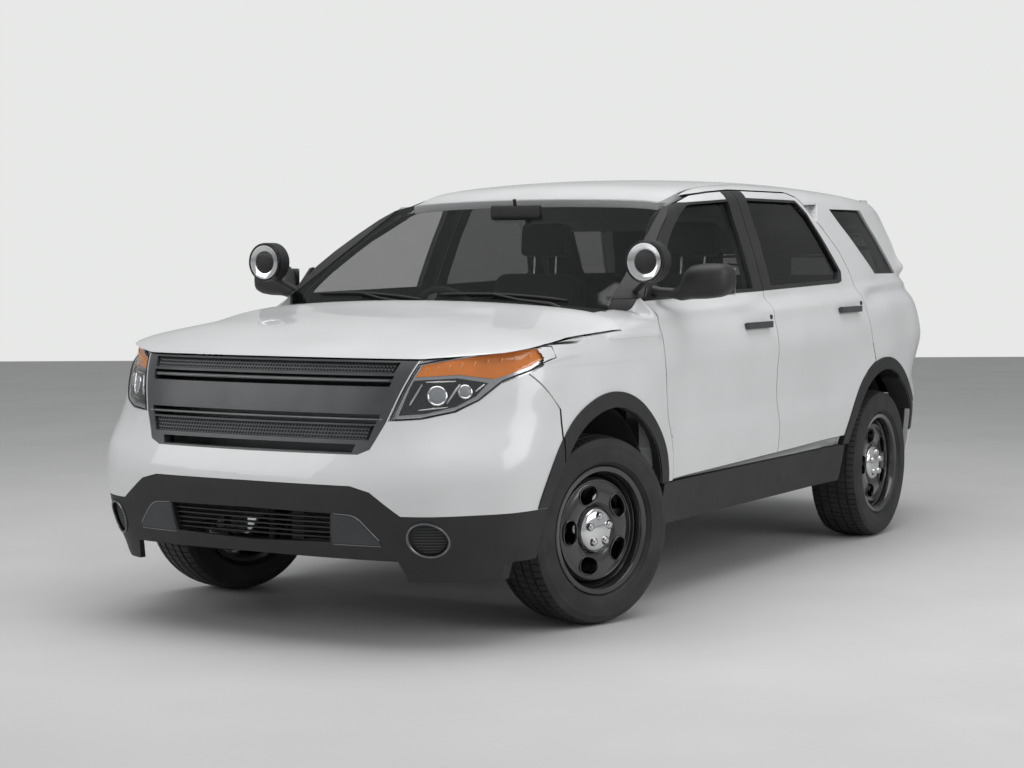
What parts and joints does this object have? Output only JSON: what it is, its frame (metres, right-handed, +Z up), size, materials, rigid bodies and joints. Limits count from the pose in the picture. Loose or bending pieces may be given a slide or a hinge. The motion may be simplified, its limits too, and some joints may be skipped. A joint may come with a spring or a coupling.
{
  "type": "police sport utility vehicle",
  "caption": "Three-row-length police sport utility vehicle with opening doors, hood and liftgate, steered front wheels, steel rims, black cladding and two pillar spot lamps.",
  "frame": {"origin": "on the ground under the middle of the car's bounding box", "axes": "+Z up; the front faces -Y; +X is the car's left side"},
  "size_m": [2.3678, 5.0058, 1.7577],
  "materials": {
    "white_paint": "gloss white paint",
    "black_plastic": "grained black plastic",
    "grey_plastic": "satin dark grey plastic",
    "lamp_reflector": "bright reflector",
    "clear_plastic": "clear lens",
    "red_plastic": "red lens",
    "glass": "lightly tinted glass",
    "dark_glass": "privacy glass",
    "tyre_rubber": "black rubber",
    "wheel_steel": "satin black paint",
    "hub_metal": "bright plating",
    "cast_metal": "bare casting",
    "dark_steel": "black primer",
    "seat_cloth": "dark woven cloth",
    "wheel_trim": "soft black rim",
    "radiator_metal": "finned aluminium"
  },
  "bodies": {
    "body": {"body_sides": "white_paint", "roof_panel": "white_paint", "roof_mouldings": "black_plastic", "front_fenders": "white_paint", "front_bumper": "white_paint", "lower_fascia": "black_plastic", "headlamps": "lamp_reflector", "headlamp_lenses": "clear_plastic", "grille": "grey_plastic", "cowl": "black_plastic", "windshield": "glass", "a_pillars": "black_plastic", "rear_bumper": "white_paint", "tail_lamps": "red_plastic", "quarter_glass": "dark_glass", "side_cladding": "black_plastic", "spotlights": "black_plastic", "front_suspension": "dark_steel", "rear_suspension": "dark_steel", "front_frame": "dark_steel", "floor_pan": "dark_steel", "front_seats": "seat_cloth", "rear_seat": "seat_cloth", "dashboard": "black_plastic", "radiator": "radiator_metal", "engine": "cast_metal", "exhaust": "dark_steel"},
    "hood": {"hood": "white_paint"},
    "liftgate": {"liftgate": "white_paint", "liftgate_glass": "dark_glass"},
    "steering_wheel": {"steering_wheel": "wheel_trim"},
    "front_left_door": {"front_left_door": "white_paint", "front_left_door_glass": "glass", "front_left_handle": "grey_plastic", "left_mirror": "black_plastic"},
    "rear_left_door": {"rear_left_door": "white_paint", "rear_left_door_glass": "dark_glass", "rear_left_handle": "grey_plastic"},
    "front_left_upright": {"front_left_knuckle": "cast_metal"},
    "front_left_wheel": {"front_left_tyre": "tyre_rubber", "front_left_wheel": "wheel_steel", "front_left_hub": "hub_metal"},
    "rear_left_wheel": {"rear_left_tyre": "tyre_rubber", "rear_left_wheel": "wheel_steel", "rear_left_hub": "hub_metal"},
    "front_right_door": {"front_right_door": "white_paint", "front_right_door_glass": "glass", "front_right_handle": "grey_plastic", "right_mirror": "black_plastic"},
    "rear_right_door": {"rear_right_door": "white_paint", "rear_right_door_glass": "dark_glass", "rear_right_handle": "grey_plastic"},
    "front_right_upright": {"front_right_knuckle": "cast_metal"},
    "front_right_wheel": {"front_right_tyre": "tyre_rubber", "front_right_wheel": "wheel_steel", "front_right_hub": "hub_metal"},
    "rear_right_wheel": {"rear_right_tyre": "tyre_rubber", "rear_right_wheel": "wheel_steel", "rear_right_hub": "hub_metal"}
  },
  "joints": [
    {"name": "hood_hinge", "type": "hinge", "parent": "body", "child": "hood", "pos_m": [0, -1.345, 1.196], "axis": [-1, 0, 0], "range_deg": [0, 50]},
    {"name": "liftgate_hinge", "type": "hinge", "parent": "body", "child": "liftgate", "pos_m": [0, 2.135, 1.688], "axis": [1, 0, 0], "range_deg": [0, 85]},
    {"name": "steering_column", "type": "hinge", "parent": "body", "child": "steering_wheel", "pos_m": [-0.4, -0.5, 1.083], "axis": [0, 0.9397, 0.342], "range_deg": [-270, 750]},
    {"name": "front_left_door_hinge", "type": "hinge", "parent": "body", "child": "front_left_door", "pos_m": [0.97799, -1.005, 0.68], "axis": [0.0263, 0, -0.9997], "range_deg": [0, 65]},
    {"name": "rear_left_door_hinge", "type": "hinge", "parent": "body", "child": "rear_left_door", "pos_m": [0.96525, 0.095, 0.63], "axis": [-0.0046, 0, -1], "range_deg": [0, 65]},
    {"name": "left_kingpin", "type": "hinge", "parent": "body", "child": "front_left_upright", "pos_m": [0.835, -1.51, 0.363], "axis": [0, 0, 1], "range_deg": [-18, 50]},
    {"name": "rear_left_spin", "type": "hinge", "parent": "body", "child": "rear_left_wheel", "pos_m": [0.851, 1.35, 0.363], "axis": [1, 0, 0], "continuous": true},
    {"name": "front_left_spin", "type": "hinge", "parent": "front_left_upright", "child": "front_left_wheel", "pos_m": [0.85039, -1.51437, 0.363], "axis": [0.9619, -0.2733, 0], "continuous": true},
    {"name": "front_right_door_hinge", "type": "hinge", "parent": "body", "child": "front_right_door", "pos_m": [-0.97799, -1.005, 0.68], "axis": [0.0263, 0, 0.9997], "range_deg": [0, 65]},
    {"name": "rear_right_door_hinge", "type": "hinge", "parent": "body", "child": "rear_right_door", "pos_m": [-0.96525, 0.095, 0.63], "axis": [-0.0046, 0, 1], "range_deg": [0, 65]},
    {"name": "right_kingpin", "type": "hinge", "parent": "body", "child": "front_right_upright", "pos_m": [-0.835, -1.51, 0.363], "axis": [0, 0, 1], "range_deg": [-18, 50]},
    {"name": "rear_right_spin", "type": "hinge", "parent": "body", "child": "rear_right_wheel", "pos_m": [-0.851, 1.35, 0.363], "axis": [1, 0, 0], "continuous": true},
    {"name": "front_right_spin", "type": "hinge", "parent": "front_right_upright", "child": "front_right_wheel", "pos_m": [-0.85039, -1.50563, 0.363], "axis": [0.9619, -0.2733, 0], "continuous": true}
  ],
  "couplings": [
    {"joint": "right_kingpin", "follows": "left_kingpin", "ratio": 1},
    {"joint": "steering_column", "follows": "left_kingpin", "ratio": 15}
  ]
}
